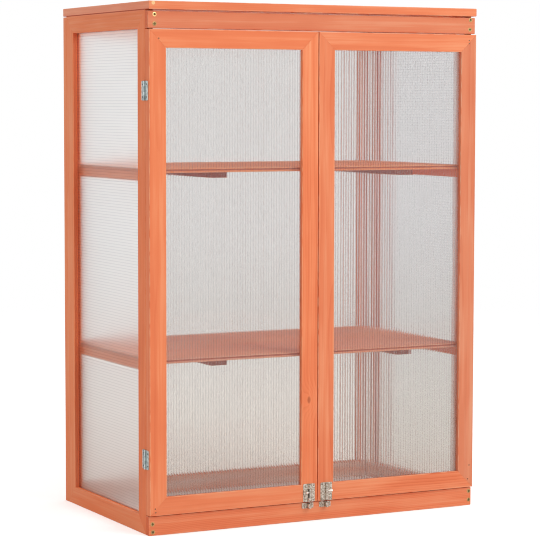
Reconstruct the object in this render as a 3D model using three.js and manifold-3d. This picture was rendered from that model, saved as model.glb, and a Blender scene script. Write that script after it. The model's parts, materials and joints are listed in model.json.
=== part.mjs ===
// Two-door wooden mini greenhouse with twin-wall sheets, shelves and a hinged lid.
// Millimetres. X points right, Y points back, Z points up. The cabinet stands on z = 0.
import * as THREE from 'three';
import { mergeVertices } from 'three/addons/utils/BufferGeometryUtils.js';
import Module from 'manifold-3d';

const wasm = await Module();
wasm.setup();

// Overall sizes, over the boards
const width = 785;
const depth = 465;
const height = 1100;

// Side frames
const sideMember = 38;
const sideThickness = 18;
const sideSheetSetback = 10;

// Back frame, which covers the rear edges of the side frames
const backMember = 38;
const backThickness = 18;
const backSheetSetback = 10;
const backTopDrop = 2;

// Lid frame, which rests on the side frames
const lidMember = 38;
const lidThickness = 17;
const lidSheetSetback = 7;

// Front boards
const frontBoardThickness = 15;
const headerHeight = 35;
const headerTopDrop = 3;
const skirtHeight = 40;

// Doors
const doorMember = 38;
const doorThickness = 20;
const doorSheetSetback = 7;
const doorRearLipInset = 4;
const doorBackGap = 1;
const doorEdgeGap = 2;
const doorMiddleGap = 2;

// Twin-wall sheets, held in grooves
const sheetThickness = 4;
const grooveDepth = 5;
const sheetClearance = 0.3;
const mitreGap = 0.3;

// Shelves, their battens and their cleats
const lowerShelfTop = 363;
const upperShelfTop = 758;
const shelfThickness = 9;
const shelfSideGap = 1;
const shelfFrontGap = 2;
const shelfBackGap = 0.5;
const battenWidth = 38;
const battenThickness = 12;
const leftBattenX = -215;
const rightBattenX = 236;
const battenSetback = 18;
const cleatWidth = 15;
const cleatHeight = 18;
const cleatEndGap = 0.5;

// Butt hinges, the same on the doors and the lid
const hingeHeight = 40;
const hingeReach = 15.5;
const hingeLeafThickness = 1.2;
const hingeBarrelRadius = 2.5;
const hingePinRadius = 1.2;
const hingeMiddleKnuckle = 14;
const hingeRunningGap = 0.25;
const hingeSeatGap = 0.3;
const upperHingeInset = 125;
const lowerHingeInset = 116;
const lidHingeInset = 150;

// Barrel bolts and their keepers
const boltOffset = 20;
const boltPlateWidth = 28;
const boltPlateHeight = 39;
const boltPlateThickness = 1;
const boltPlateInset = 0.5;
const boltCasingWall = 1;
const boltCasingInset = 1.5;
const boltRodRadius = 2.5;
const boltRunningGap = 0.3;
const boltTipInset = 1;
const boltRodLength = 35;
const boltDrop = 11;
const boltLift = 5;
const knobLevel = 21.5;
const knobStudRadius = 1.75;
const knobHeadRadius = 2.5;
const knobHeadLength = 7;
const knobChamfer = 0.7;
const knobReach = 13;
const leftKnobTurn = THREE.MathUtils.degToRad(-55);
const rightKnobTurn = THREE.MathUtils.degToRad(68);
const keeperHeight = 12;
const keeperInset = 0.5;

// Facets on the round pieces
const quarterSteps = 4;
const roundSteps = 4 * quarterSteps;

// Places that several pieces share
const halfWidth = width / 2;
const frontY = -depth / 2;
const backY = depth / 2;
const doorBackY = frontY + doorThickness;
const sideFrontY = doorBackY + doorBackGap;
const sideBackY = backY - backThickness;
const headerFrontY = sideFrontY - frontBoardThickness;
const innerHalfWidth = halfWidth - sideThickness;
const lidUnderside = height - lidThickness;
const headerTop = lidUnderside - headerTopDrop;
const doorBottom = skirtHeight + doorEdgeGap;
const doorTop = headerTop - headerHeight - doorEdgeGap;
const doorWidth = halfWidth - doorMiddleGap / 2;

const right = new THREE.Vector3(1, 0, 0);
const back = new THREE.Vector3(0, 1, 0);
const up = new THREE.Vector3(0, 0, 1);
const left = right.clone().negate();
const front = back.clone().negate();
const down = up.clone().negate();

const firMaterial = color => new THREE.MeshStandardMaterial({ color, roughness: 0.62, metalness: 0 });
const frontFir = () => firMaterial(0xe9895d);
const sideFir = () => firMaterial(0xd27c58);
const shelfFir = () => firMaterial(0xdc9a72);
const sheetPlastic = () => new THREE.MeshStandardMaterial({
  color: 0xdcdad6, roughness: 0.35, metalness: 0, transparent: true, opacity: 0.6,
});
const zincSteel = () => new THREE.MeshStandardMaterial({ color: 0xb4bcbe, roughness: 0.35, metalness: 0.9 });
const nickelSteel = () => new THREE.MeshStandardMaterial({ color: 0xb9b2a5, roughness: 0.3, metalness: 0.9 });

const greenhouse = new THREE.Group();

// A geometry's own X, Y and Z are laid along three directions of the cabinet.
function turned(geometry, x, y) {
  const z = new THREE.Vector3().crossVectors(x, y);
  return geometry.applyMatrix4(new THREE.Matrix4().makeBasis(x, y, z));
}

function addPiece(name, geometry, material, position) {
  const mesh = new THREE.Mesh(geometry, material);
  mesh.name = name;
  mesh.position.copy(position);
  greenhouse.add(mesh);
}

function toSolid(geometry) {
  geometry.deleteAttribute('normal');
  geometry.deleteAttribute('uv');
  const merged = mergeVertices(geometry);
  return new wasm.Manifold(new wasm.Mesh({
    numProp: 3,
    vertProperties: merged.attributes.position.array,
    triVerts: new Uint32Array(merged.index.array),
  }));
}

function toGeometry(solid) {
  const { vertProperties, triVerts } = solid.getMesh();
  const geometry = new THREE.BufferGeometry();
  geometry.setAttribute('position', new THREE.BufferAttribute(vertProperties, 3));
  geometry.setIndex(new THREE.BufferAttribute(triVerts, 1));
  return geometry;
}

function united(geometries) {
  const [first, ...others] = geometries.map(toSolid);
  return others.reduce((whole, next) => whole.add(next), first);
}

function slab(outline, from, to) {
  const settings = { depth: to - from, bevelEnabled: false, curveSegments: 2 * quarterSteps };
  return new THREE.ExtrudeGeometry(outline, settings).translate(0, 0, from);
}

function rectangle(x0, y0, x1, y1) {
  return new THREE.Shape([[x0, y0], [x1, y0], [x1, y1], [x0, y1]].map(p => new THREE.Vector2(...p)));
}

function disc(x, y, radius) {
  const corners = Array.from({ length: roundSteps }, (_, step) => {
    const angle = (step + 0.5) * 2 * Math.PI / roundSteps;
    return new THREE.Vector2(x + radius * Math.cos(angle), y + radius * Math.sin(angle));
  });
  return new THREE.Shape(corners);
}

function addBoard(name, material, low, high) {
  const size = new THREE.Vector3().subVectors(high, low);
  const centre = new THREE.Vector3().addVectors(low, high).multiplyScalar(0.5);
  addPiece(name, new THREE.BoxGeometry(...size), material, centre);
}

const point = (x, y, z) => new THREE.Vector3(x, y, z);

// A frame member: X from its outer edge inwards, Y through its thickness, Z along its length.
// Its inner edge has the groove for the sheet, whose rear lip may be lower, and both ends are mitred.
function mitredMember(length, member, thickness, grooveFrom, rearLipInset) {
  const grooveTo = grooveFrom + sheetThickness + 2 * sheetClearance;
  const grooveEnd = member - grooveDepth;
  const rearEdge = member - rearLipInset;
  const section = [
    [0, 0], [rearEdge, 0], [rearEdge, grooveFrom], [grooveEnd, grooveFrom],
    [grooveEnd, grooveTo], [member, grooveTo], [member, thickness], [0, thickness],
  ];
  const geometry = slab(new THREE.Shape(section.map(p => new THREE.Vector2(...p))), 0, length);
  const places = geometry.attributes.position;
  for (let i = 0; i < places.count; i += 1) {
    const cut = places.getX(i) + mitreGap / Math.SQRT2;
    places.setZ(i, places.getZ(i) > length / 2 ? length - cut : cut);
  }
  return geometry;
}

// A rectangular frame in the plane of across and rise, its thickness along their cross product.
// Members are listed from the edge along across, then round the frame; the sheet comes last.
function addFrame({
  names, sheetName, origin, across, rise, span, tall, member, thickness, setback, wood, rearLipInset = 0,
}) {
  const outward = new THREE.Vector3().crossVectors(across, rise);
  const corner = (s, t) => origin.clone().addScaledVector(across, s * span).addScaledVector(rise, t * tall);
  const grooveFrom = thickness - setback - sheetThickness - sheetClearance;
  const edges = [
    { inward: rise, from: corner(0, 0), length: span },
    { inward: across.clone().negate(), from: corner(1, 0), length: tall },
    { inward: rise.clone().negate(), from: corner(1, 1), length: span },
    { inward: across, from: corner(0, 1), length: tall },
  ];
  edges.forEach((edge, index) => {
    const geometry = mitredMember(edge.length, member, thickness, grooveFrom, rearLipInset);
    addPiece(names[index], turned(geometry, edge.inward, outward), wood(), edge.from);
  });
  const edgeInset = 2 * (member - grooveDepth + sheetClearance);
  const sheet = new THREE.BoxGeometry(span - edgeInset, tall - edgeInset, sheetThickness);
  const centre = origin.clone().addScaledVector(across, span / 2).addScaledVector(rise, tall / 2)
    .addScaledVector(outward, grooveFrom + sheetClearance + sheetThickness / 2);
  addPiece(sheetName, turned(sheet, across, rise), sheetPlastic(), centre);
}

function addSideFrames() {
  const shared = {
    rise: up, span: sideBackY - sideFrontY, tall: lidUnderside,
    member: sideMember, thickness: sideThickness, setback: sideSheetSetback, wood: sideFir,
  };
  addFrame({
    ...shared, across: front, origin: point(-innerHalfWidth, sideBackY, 0), sheetName: 'left_side_sheet',
    names: ['left_side_bottom_rail', 'left_side_front_stile', 'left_side_top_rail', 'left_side_rear_stile'],
  });
  addFrame({
    ...shared, across: back, origin: point(innerHalfWidth, sideFrontY, 0), sheetName: 'right_side_sheet',
    names: ['right_side_bottom_rail', 'right_side_rear_stile', 'right_side_top_rail', 'right_side_front_stile'],
  });
}

function addBackFrame() {
  addFrame({
    across: left, rise: up, origin: point(halfWidth, sideBackY, 0),
    span: width, tall: lidUnderside - backTopDrop,
    member: backMember, thickness: backThickness, setback: backSheetSetback, wood: sideFir,
    sheetName: 'back_sheet',
    names: ['back_bottom_rail', 'back_left_stile', 'back_top_rail', 'back_right_stile'],
  });
}

function addLid() {
  addFrame({
    across: right, rise: back, origin: point(-halfWidth, frontY, lidUnderside),
    span: width, tall: depth,
    member: lidMember, thickness: lidThickness, setback: lidSheetSetback, wood: frontFir,
    sheetName: 'lid_sheet',
    names: ['lid_front_rail', 'lid_right_rail', 'lid_rear_rail', 'lid_left_rail'],
  });
}

function addDoors() {
  const shared = {
    across: right, rise: up, span: doorWidth, tall: doorTop - doorBottom,
    member: doorMember, thickness: doorThickness, setback: doorSheetSetback, wood: frontFir,
    rearLipInset: doorRearLipInset,
  };
  addFrame({
    ...shared, origin: point(-halfWidth, doorBackY, doorBottom), sheetName: 'left_door_sheet',
    names: ['left_door_bottom_rail', 'left_door_inner_stile', 'left_door_top_rail', 'left_door_outer_stile'],
  });
  addFrame({
    ...shared, origin: point(doorMiddleGap / 2, doorBackY, doorBottom), sheetName: 'right_door_sheet',
    names: ['right_door_bottom_rail', 'right_door_outer_stile', 'right_door_top_rail', 'right_door_inner_stile'],
  });
}

function addFrontBoards() {
  addBoard('header_board', frontFir(),
    point(-halfWidth, headerFrontY, headerTop - headerHeight), point(halfWidth, sideFrontY, headerTop));
  addBoard('skirt_board', frontFir(),
    point(-halfWidth, headerFrontY, 0), point(halfWidth, sideFrontY, skirtHeight));
}

// A shelf lies on two cleats fixed to the side frames, with battens across its underside.
function addShelf(prefix, top) {
  const underside = top - shelfThickness;
  const shelfFrontY = sideFrontY + shelfFrontGap;
  const shelfBackY = sideBackY - shelfBackGap;
  const shelfHalf = innerHalfWidth - shelfSideGap;
  addBoard(`${prefix}_shelf_boards`, shelfFir(),
    point(-shelfHalf, shelfFrontY, underside), point(shelfHalf, shelfBackY, top));
  for (const [side, sign, battenX] of [['left', -1, leftBattenX], ['right', 1, rightBattenX]]) {
    addBoard(`${prefix}_shelf_${side}_batten`, shelfFir(),
      point(battenX - battenWidth / 2, shelfFrontY + battenSetback, underside - battenThickness),
      point(battenX + battenWidth / 2, shelfBackY - battenSetback, underside));
    const cleatX = sign * (innerHalfWidth - cleatWidth / 2);
    addBoard(`${prefix}_shelf_${side}_cleat`, sideFir(),
      point(cleatX - cleatWidth / 2, sideFrontY + cleatEndGap, underside - cleatHeight),
      point(cleatX + cleatWidth / 2, sideBackY - cleatEndGap, underside));
  }
}

// Butt hinge leaves: X out of the wood, Y from the pin to the fixed leaf, Z along the pin.
const hingePinOut = hingeBarrelRadius + hingeSeatGap;
const hingePlateStart = hingeBarrelRadius + hingeSeatGap;
const hingeHalf = hingeHeight / 2;
const hingeMiddleHalf = hingeMiddleKnuckle / 2;

function hingeKnuckle(direction, from, to) {
  const tabStart = Math.min(0, direction * hingePlateStart);
  const tabEnd = Math.max(0, direction * hingePlateStart);
  return [
    slab(disc(hingePinOut, 0, hingeBarrelRadius), from, to),
    slab(rectangle(0, tabStart, hingeLeafThickness, tabEnd), from, to),
  ];
}

function hingePlate(direction) {
  const edges = [direction * hingePlateStart, direction * hingeReach].sort((a, b) => a - b);
  return slab(rectangle(0, edges[0], hingeLeafThickness, edges[1]), -hingeHalf, hingeHalf);
}

function fixedLeaf() {
  const knuckleStart = hingeMiddleHalf + hingeRunningGap;
  return toGeometry(united([
    hingePlate(1),
    ...hingeKnuckle(1, -hingeHalf, -knuckleStart),
    ...hingeKnuckle(1, knuckleStart, hingeHalf),
    slab(disc(hingePinOut, 0, hingePinRadius), -hingeHalf, hingeHalf),
  ]));
}

function movingLeaf() {
  const bore = slab(disc(hingePinOut, 0, hingePinRadius + hingeRunningGap), -hingeHalf, hingeHalf);
  const leaf = united([hingePlate(-1), ...hingeKnuckle(-1, -hingeMiddleHalf, hingeMiddleHalf)]);
  return toGeometry(leaf.subtract(toSolid(bore)));
}

function addHinge(fixedName, movingName, outward, towardsFixed, place) {
  addPiece(fixedName, turned(fixedLeaf(), outward, towardsFixed), zincSteel(), place);
  addPiece(movingName, turned(movingLeaf(), outward, towardsFixed), zincSteel(), place);
}

function addHinges() {
  const doorPinY = (doorBackY + sideFrontY) / 2;
  const levels = { upper: doorTop - upperHingeInset, lower: doorBottom + lowerHingeInset };
  for (const [side, sign, outward] of [['left', -1, left], ['right', 1, right]]) {
    for (const [level, z] of Object.entries(levels)) {
      addHinge(`${side}_${level}_hinge_cabinet_leaf`, `${side}_${level}_hinge_door_leaf`,
        outward, back, point(sign * halfWidth, doorPinY, z));
    }
  }
  const lidPinZ = lidUnderside - backTopDrop / 2;
  for (const [side, sign] of [['left', -1], ['right', 1]]) {
    addHinge(`lid_${side}_hinge_back_leaf`, `lid_${side}_hinge_lid_leaf`,
      back, down, point(sign * (halfWidth - lidHingeInset), backY, lidPinZ));
  }
}

// Bolt pieces: X across, Y out of the wood when negative, Z up from the foot of their plate.
const boltInnerRadius = boltRodRadius + boltRunningGap;
const boltOuterRadius = boltInnerRadius + boltCasingWall;
const boltRodOut = boltPlateThickness + boltRunningGap + boltRodRadius;
const knobSlotHalf = knobStudRadius + boltRunningGap;

// A hoop round a rod that stands off the wood by the given reach, open towards its plate.
function hoop(reach, from, to) {
  const foot = -boltPlateThickness / 2;
  const outline = new THREE.Shape();
  outline.moveTo(-boltOuterRadius, foot);
  outline.lineTo(-boltOuterRadius, -reach);
  outline.absarc(0, -reach, boltOuterRadius, Math.PI, 2 * Math.PI, false);
  outline.lineTo(boltOuterRadius, foot);
  outline.lineTo(boltInnerRadius, foot);
  outline.lineTo(boltInnerRadius, -reach);
  outline.absarc(0, -reach, boltInnerRadius, 2 * Math.PI, Math.PI, true);
  outline.lineTo(-boltInnerRadius, foot);
  outline.closePath();
  return slab(outline, from, to);
}

function fixingPlate(tall) {
  return slab(rectangle(-boltPlateWidth / 2, -boltPlateThickness, boltPlateWidth / 2, 0), 0, tall);
}

// The casing's slot lets the knob's stud run from its locked place to its highest one.
function boltPlate(turn) {
  const casing = united([
    fixingPlate(boltPlateHeight),
    hoop(boltRodOut, boltCasingInset, boltPlateHeight - boltCasingInset),
  ]);
  const slotFoot = knobLevel - boltDrop - knobSlotHalf;
  const slotTop = knobLevel + boltLift + knobSlotHalf;
  const slot = slab(rectangle(-knobSlotHalf, -knobReach, knobSlotHalf, 0), slotFoot, slotTop);
  slot.rotateZ(turn).translate(0, -boltRodOut, 0);
  return toGeometry(casing.subtract(toSolid(slot)));
}

function keeper(reach) {
  return toGeometry(united([fixingPlate(keeperHeight), hoop(reach, 0, keeperHeight)]));
}

// The knob's profile turns about Y: a stud from the rod's axis with a plain round head.
function knob(turn) {
  const profile = [
    [0, 0], [knobStudRadius, 0], [knobStudRadius, knobReach - knobHeadLength],
    [knobHeadRadius, knobReach - knobHeadLength], [knobHeadRadius, knobReach - knobChamfer],
    [knobHeadRadius - knobChamfer, knobReach], [0, knobReach],
  ];
  const points = profile.map(p => new THREE.Vector2(...p));
  return new THREE.LatheGeometry(points, roundSteps).rotateX(Math.PI).rotateZ(turn);
}

// The rod stands drawn up, its tip clear of the keeper.
function boltRod(turn) {
  const rod = slab(disc(0, -boltRodOut, boltRodRadius), boltTipInset, boltTipInset + boltRodLength);
  return toGeometry(united([rod, knob(turn).translate(0, -boltRodOut, knobLevel)]));
}

function addBolts() {
  const plateZ = doorBottom + boltPlateInset;
  const keeperZ = skirtHeight - keeperInset - keeperHeight;
  const keeperReach = headerFrontY - frontY + boltRodOut;
  for (const [side, sign, turn] of [['left', -1, leftKnobTurn], ['right', 1, rightKnobTurn]]) {
    const x = sign * (doorMiddleGap / 2 + boltOffset);
    addPiece(`${side}_bolt_plate`, boltPlate(turn), nickelSteel(), point(x, frontY, plateZ));
    addPiece(`${side}_bolt_rod`, boltRod(turn), nickelSteel(), point(x, frontY, plateZ));
    addPiece(`${side}_keeper`, keeper(keeperReach), nickelSteel(), point(x, headerFrontY, keeperZ));
  }
}

addSideFrames();
addBackFrame();
addFrontBoards();
addShelf('lower', lowerShelfTop);
addShelf('upper', upperShelfTop);
addDoors();
addLid();
addHinges();
addBolts();

// The origin is the middle of the whole greenhouse at ground level.
const extent = new THREE.Box3().setFromObject(greenhouse);
greenhouse.position.set(0, -(extent.min.y + extent.max.y) / 2, 0);

export default greenhouse;
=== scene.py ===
"""Looks of a wooden mini greenhouse: stained fir frames, twin-wall sheets and small steel fittings.

Metres. X points right, Y points back, Z points up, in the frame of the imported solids.
"""

import json
import math
import random
from contextlib import contextmanager

import bmesh
import bpy
from mathutils import Matrix, Vector
from mathutils.geometry import tessellate_polygon


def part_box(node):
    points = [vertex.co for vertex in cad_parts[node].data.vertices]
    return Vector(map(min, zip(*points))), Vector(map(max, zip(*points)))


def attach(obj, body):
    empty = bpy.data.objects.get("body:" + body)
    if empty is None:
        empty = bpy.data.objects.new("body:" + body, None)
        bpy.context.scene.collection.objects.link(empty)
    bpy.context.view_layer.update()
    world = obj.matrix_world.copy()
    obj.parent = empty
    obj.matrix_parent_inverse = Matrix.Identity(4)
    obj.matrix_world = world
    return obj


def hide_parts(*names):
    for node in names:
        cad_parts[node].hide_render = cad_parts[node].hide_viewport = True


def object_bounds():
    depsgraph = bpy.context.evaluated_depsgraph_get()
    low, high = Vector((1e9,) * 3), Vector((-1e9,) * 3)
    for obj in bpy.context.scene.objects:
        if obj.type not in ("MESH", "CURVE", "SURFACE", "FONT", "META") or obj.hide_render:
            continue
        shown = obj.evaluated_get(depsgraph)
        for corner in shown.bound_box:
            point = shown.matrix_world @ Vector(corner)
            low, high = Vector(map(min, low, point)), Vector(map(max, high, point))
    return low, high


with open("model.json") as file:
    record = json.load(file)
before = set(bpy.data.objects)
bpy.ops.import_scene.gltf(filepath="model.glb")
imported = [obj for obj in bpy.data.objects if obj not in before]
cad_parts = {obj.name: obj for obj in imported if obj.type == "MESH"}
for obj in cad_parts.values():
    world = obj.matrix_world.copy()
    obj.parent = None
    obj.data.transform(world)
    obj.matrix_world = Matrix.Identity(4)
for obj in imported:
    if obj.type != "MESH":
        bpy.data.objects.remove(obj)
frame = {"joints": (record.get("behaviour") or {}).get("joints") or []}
solid_low, solid_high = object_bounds()

MM = 0.001
RIGHT = Vector((1, 0, 0))
BACK = Vector((0, 1, 0))
UP = Vector((0, 0, 1))
LEFT = -RIGHT
FRONT = -BACK
DOWN = -UP
ORIGIN = Vector((0, 0, 0))

# Timber
ARRIS_RADIUS = 1.2 * MM
ARRIS_STEPS = 3
END_CHAMFER = 0.7 * MM
MITRE_GAP = 0.16 * MM
GROOVE_CLEARANCE = 0.3 * MM
HEART_ALONG = (0, 40)
HEART_ACROSS = (-30, 30)
HEART_DEPTH = (22 * MM, 70 * MM)
LOOK_RANGES = {"tone": (-1, 1), "fade": (0, 0.3), "figure": (0.1, 0.5)}
SHELF_BOARDS = 10
SHELF_JOINT = 0.5 * MM
SHELF_GROOVE = (1.8 * MM, 5.0 * MM, 1.4 * MM)
PLAIN_PLACE = Vector((9, 9, 9))
DOOR_REAR_LIP = 4 * MM

# Grain and stain; the stretches are along, across and through a board, and the shares say how far
# each part of the grain deepens or pales the stain
SWAY_STRETCH = (2.2, 9, 9)
FIBRE_STRETCH = (4, 170, 170)
CLOUD_STRETCH = (6, 15, 15)
STREAK_STRETCH = (3, 62, 62)
WEAR_STRETCH = (40, 90, 90)
RING_SPACING = 3.6 * MM
RING_SWAY = 8 * MM
RING_SHARPNESS = 2.6
KNOT_REACH = 14 * MM
KNOT_SWIRL = 12 * MM
KNOT_RADII = (2 * MM, 5 * MM)
CLOUD_SHARE = 1.1
STREAK_SHARE = 1.0
TONE_SHARE = 0.3
FIBRE_SHARE = 1.9
FIBRE_MIDDLE = 0.47
KNOT_SHARE = 0.6
END_SHARE = 0.8
KNOT_STAIN = (150, 66, 34)
WORN_STAIN = (247, 176, 132)
BARE_WOOD = (240, 211, 196)
# Stain colour for painted shade in joints, grooves and reveals
PAINTED_SHADE_STAIN = (196, 90, 54)
FADE = (0.84, 0.99, 1.25, 1)

# Edges of a mitred member's section, counted from the arris at its outer rear edge
OUTER_REAR_ARRIS = {0, 1, 2}
OUTER_FRONT_ARRIS = {16, 17, 18}
OUTER_EDGE = {19}
REAR_FACE = {3}
INNER_EDGE = {11}

# Twin-wall sheets
FLUTE_PITCH = 6.1 * MM
# Heights over which painted shade darkens the sheets towards the ground
FOOT_SHADE_LEVELS = (0.02, 0.7)
LIGHT_THROUGH = (0.995, 0.995, 0.995, 1)
SHEET_SHINE = 0.1
SKIN = 0.45 * MM
RIB = 0.16 * MM
RIB_FILLET = 0.03 * MM
SINK_WIDTH = 0.85 * MM
SINK_DEPTHS = {"door": 0.2 * MM, "side": 0.03 * MM, "back": 0.0}

# Steel
SCRATCH_STRETCH = (1, 1, 0.08)
CREASE = 50
CHAMFER_ABOVE = math.radians(40)

WHITE = (1, 1, 1, 1)

grain_draws = random.Random(417)


def colour(red, green, blue):
    """A colour given as it looks on screen, 0 to 255, for a node's colour socket."""
    linear = [((c / 255 + 0.055) / 1.055) ** 2.4 if c > 10 else c / 3294.6 for c in (red, green, blue)]
    return (*linear, 1)


# Node helpers
def feed(tree, sockets, inputs):
    """Links each named socket to the socket it is given, or sets it to the value it is given."""
    for name, value in inputs.items():
        if isinstance(value, bpy.types.NodeSocket):
            tree.links.new(value, sockets[name])
        else:
            sockets[name].default_value = value


def add_node(tree, kind, inputs=None, **settings):
    made = tree.nodes.new(kind)
    for name, value in settings.items():
        setattr(made, name, value)
    feed(tree, made.inputs, inputs or {})
    return made


def use_group(tree, group, inputs):
    return add_node(tree, "ShaderNodeGroup", inputs, node_tree=group).outputs


def maths(tree, operation, first, second=0.0, clamp=False):
    inputs = {0: first, 1: second}
    return add_node(tree, "ShaderNodeMath", inputs, operation=operation, use_clamp=clamp).outputs[0]


def plus(tree, first, second, clamp=False):
    return maths(tree, "ADD", first, second, clamp)


def minus(tree, first, second, clamp=False):
    return maths(tree, "SUBTRACT", first, second, clamp)


def times(tree, first, second):
    return maths(tree, "MULTIPLY", first, second)


def vector_maths(tree, operation, first, second):
    return add_node(tree, "ShaderNodeVectorMath", {0: first, 1: second}, operation=operation).outputs[0]


def length_of(tree, vector):
    return add_node(tree, "ShaderNodeVectorMath", {0: vector}, operation="LENGTH").outputs["Value"]


def noise(tree, place, stretch=None, scale=1.0, detail=2.0, roughness=0.5):
    """Soft noise over a place, which may first be stretched along its three directions."""
    vector = vector_maths(tree, "MULTIPLY", place, stretch) if stretch else place
    values = {"Vector": vector, "Scale": scale, "Detail": detail, "Roughness": roughness}
    return add_node(tree, "ShaderNodeTexNoise", values).outputs[0]


def ramp(tree, value, low, high, bottom=0.0, top=1.0):
    values = {"Value": value, "From Min": low, "From Max": high, "To Min": bottom, "To Max": top}
    return add_node(tree, "ShaderNodeMapRange", values, interpolation_type="SMOOTHSTEP").outputs[0]


def tint(tree, share, under, over, blend="MIX"):
    inputs = {0: share, 6: under, 7: over}
    return add_node(tree, "ShaderNodeMix", inputs, data_type="RGBA", blend_type=blend).outputs[2]


def surface_value(tree, name, output="Fac"):
    return add_node(tree, "ShaderNodeAttribute", attribute_name=name).outputs[output]


def own_place(tree):
    return add_node(tree, "ShaderNodeTexCoord").outputs["Object"]


def bumps(tree, height, strength, depth):
    inputs = {"Height": height, "Strength": strength, "Distance": depth}
    return add_node(tree, "ShaderNodeBump", inputs).outputs[0]


def new_group(name, inputs, outputs, kind="ShaderNodeTree"):
    """A node group with named sockets, given as (name, type, starting value)."""
    group = bpy.data.node_groups.new(name, kind)
    for title, socket, value in inputs:
        made = group.interface.new_socket(title, in_out="INPUT", socket_type="NodeSocket" + socket)
        if value is not None:
            made.default_value = value
    for title, socket in outputs:
        group.interface.new_socket(title, in_out="OUTPUT", socket_type="NodeSocket" + socket)
    return group, group.nodes.new("NodeGroupInput").outputs, group.nodes.new("NodeGroupOutput").inputs


# Finishes
def fir_grain_group():
    """Growth rings round a heart line, fibres, stain clouds and a knot, from a board's own place."""
    inputs = [
        ("Place", "Vector", None), ("Knot Place", "Vector", None),
        ("Ring Spacing", "Float", RING_SPACING), ("Ring Sway", "Float", RING_SWAY),
    ]
    outputs = [(name, "Float") for name in ("Rings", "Fibres", "Clouds", "Streaks", "Knot", "Relief")]
    group, given, result = new_group("Fir grain", inputs, outputs)
    place = given["Place"]
    sway = times(group, minus(group, noise(group, place, SWAY_STRETCH), 0.5), given["Ring Sway"])
    knot_distance = length_of(group, vector_maths(group, "MULTIPLY", given["Knot Place"], (0.5, 1, 0)))
    falling = maths(group, "POWER", maths(group, "DIVIDE", knot_distance, KNOT_REACH), 2.0)
    swirl = times(group, maths(group, "EXPONENT", times(group, falling, -1.0)), KNOT_SWIRL)
    radius = length_of(group, vector_maths(group, "MULTIPLY", place, (0, 1, 1)))
    swayed = plus(group, plus(group, radius, sway), swirl)
    saw = maths(group, "FRACT", maths(group, "DIVIDE", swayed, given["Ring Spacing"]))
    rings = maths(group, "POWER", saw, RING_SHARPNESS)
    fibres = noise(group, place, FIBRE_STRETCH, detail=4.0, roughness=0.62)
    feed(group, result, {
        "Rings": rings, "Fibres": fibres, "Clouds": noise(group, place, CLOUD_STRETCH),
        "Streaks": noise(group, place, STREAK_STRETCH),
        "Knot": ramp(group, knot_distance, *KNOT_RADII, 1.0, 0.0),
        "Relief": plus(group, times(group, rings, 0.5), times(group, fibres, 0.6)),
    })
    return group


def arris_wear_group():
    """Where the stain is thin: on the arrises, in broken patches along them."""
    inputs = [("Arris", "Float", 0.0), ("Place", "Vector", None), ("Amount", "Float", 0.7)]
    group, given, result = new_group("Arris wear", inputs, [("Wear", "Float")])
    patches = ramp(group, noise(group, given["Place"], WEAR_STRETCH), 0.35, 0.6)
    feed(group, result, {"Wear": times(group, times(group, patches, given["Arris"]), given["Amount"])})
    return group


def metal_age_group():
    """Cloudy dulling and fine scratches on plated steel."""
    inputs = [("Place", "Vector", None), ("Cloud Scale", "Float", 160.0), ("Scratch Scale", "Float", 900.0)]
    group, given, result = new_group("Metal age", inputs, [("Dulling", "Float"), ("Scratches", "Float")])
    clouds = noise(group, given["Place"], scale=given["Cloud Scale"], detail=3.0)
    feed(group, result, {
        "Dulling": ramp(group, clouds, 0.35, 0.7),
        "Scratches": noise(group, given["Place"], SCRATCH_STRETCH, given["Scratch Scale"]),
    })
    return group


fir_grain = fir_grain_group()
arris_wear = arris_wear_group()
metal_age = metal_age_group()


def new_material(name):
    """A material with one Principled shader; returns it with its tree and that shader's inputs."""
    material = bpy.data.materials.new(name)
    material.use_nodes = True
    tree = material.node_tree
    return material, tree, tree.nodes["Principled BSDF"].inputs


def stained_fir(name, pale, body, deep, end, sheen=0.25, wear_amount=0.7):
    """Brushed stain on fir: rings, streaks, clouds and fibres, worn arrises, each board's own shade of stain,
    and painted shade in joints, grooves and reveals.
    """
    material, tree, shader = new_material(name)
    place = surface_value(tree, "grain_place", "Vector")
    knot_place = surface_value(tree, "knot_place", "Vector")
    grain = use_group(tree, fir_grain, {"Place": place, "Knot Place": knot_place})
    wear_inputs = {"Arris": surface_value(tree, "arris"), "Place": place, "Amount": wear_amount}
    wear = use_group(tree, arris_wear, wear_inputs)["Wear"]
    clouds = times(tree, minus(tree, grain["Clouds"], 0.5), CLOUD_SHARE)
    streaks = times(tree, minus(tree, grain["Streaks"], 0.5), STREAK_SHARE)
    tone = times(tree, surface_value(tree, "board_tone"), TONE_SHARE)
    shade = plus(tree, plus(tree, clouds, streaks), tone)
    rings = times(tree, grain["Rings"], surface_value(tree, "board_figure"))
    fibres = times(tree, minus(tree, grain["Fibres"], FIBRE_MIDDLE), FIBRE_SHARE)
    bare = times(tree, surface_value(tree, "bare"), ramp(tree, grain["Streaks"], 0.35, 0.65, 0.5, 1.0))
    stained = colour(*body)
    for share, over in (
            (plus(tree, shade, rings, clamp=True), deep), (minus(tree, fibres, shade, clamp=True), pale),
            (times(tree, grain["Knot"], KNOT_SHARE), KNOT_STAIN), (wear, WORN_STAIN), (bare, BARE_WOOD)):
        stained = tint(tree, share, stained, colour(*over))
    stained = tint(tree, surface_value(tree, "board_fade"), stained, FADE, "MULTIPLY")
    stained = tint(tree, times(tree, surface_value(tree, "end_grain"), END_SHARE), stained, colour(*end))
    feed(tree, shader, {
        # Painted shade darkens the stain in joints, grooves and reveals
        "Base Color": tint(tree, surface_value(tree, "painted_shade"), stained, colour(*PAINTED_SHADE_STAIN)),
        "Roughness": ramp(tree, grain["Fibres"], 0.3, 0.7, 0.66, 0.5), "Specular IOR Level": sheen,
        "Normal": bumps(tree, grain["Relief"], strength=0.3, depth=0.3 * MM),
    })
    return material


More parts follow.
